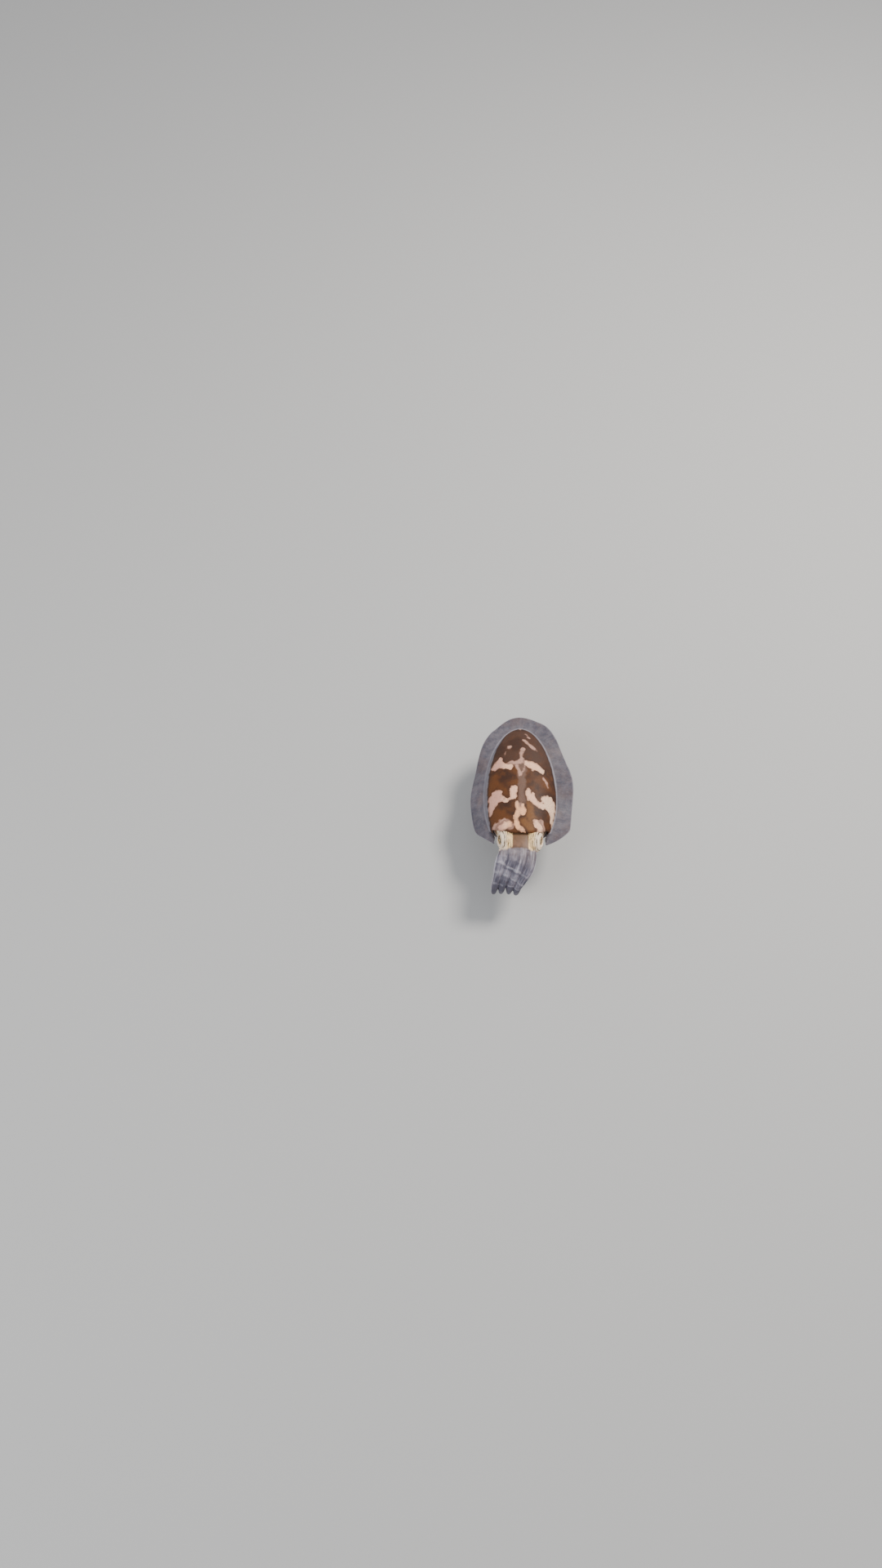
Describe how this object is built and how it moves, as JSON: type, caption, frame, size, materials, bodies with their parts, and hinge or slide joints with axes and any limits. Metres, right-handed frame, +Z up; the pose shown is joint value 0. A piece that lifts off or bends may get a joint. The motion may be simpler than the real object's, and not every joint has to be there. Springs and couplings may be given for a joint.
{
  "type": "cuttlefish",
  "caption": "Still, life-size museum model of a swimming cuttlefish with patched mantle, wavy fins and drooping arms, held level on a plain oval display stand.",
  "frame": {"origin": "centre of the flat underside of the display stand's oval plate, on the floor", "axes": "+Z up, -Y the way the animal faces, +X towards the animal's left side"},
  "size_m": [0.1432, 0.2689, 0.1025],
  "materials": {
    "mantle_skin": "moist satin skin, brown with pale pinkish patches",
    "fin_membrane": "thin grey-lavender membrane, satin",
    "head_skin": "moist satin skin, warm brown with pale gold round the eyes",
    "arm_skin": "moist satin skin, lavender grey with whitish streaks",
    "mouth_flesh": "moist satin flesh",
    "eye_surface": "wet gloss, gold iris with dark wavy pupil",
    "plate_paint": "satin pale grey paint",
    "rod_steel": "brushed"
  },
  "bodies": {
    "root": {"mantle": "mantle_skin", "fin_left": "fin_membrane", "fin_right": "fin_membrane", "head": "head_skin", "funnel": "head_skin", "mouth": "mouth_flesh", "eye_left": "eye_surface", "eye_right": "eye_surface", "arm_left_1_root": "arm_skin", "arm_left_1_tip": "arm_skin", "arm_left_2_root": "arm_skin", "arm_left_2_tip": "arm_skin", "arm_left_3_root": "arm_skin", "arm_left_3_tip": "arm_skin", "arm_left_4_root": "arm_skin", "arm_left_4_tip": "arm_skin", "arm_right_1_root": "arm_skin", "arm_right_1_tip": "arm_skin", "arm_right_2_root": "arm_skin", "arm_right_2_tip": "arm_skin", "arm_right_3_root": "arm_skin", "arm_right_3_tip": "arm_skin", "arm_right_4_root": "arm_skin", "arm_right_4_tip": "arm_skin", "stand_base": "plate_paint", "stand_rod_front": "rod_steel", "stand_rod_back": "rod_steel"}
  },
  "joints": []
}
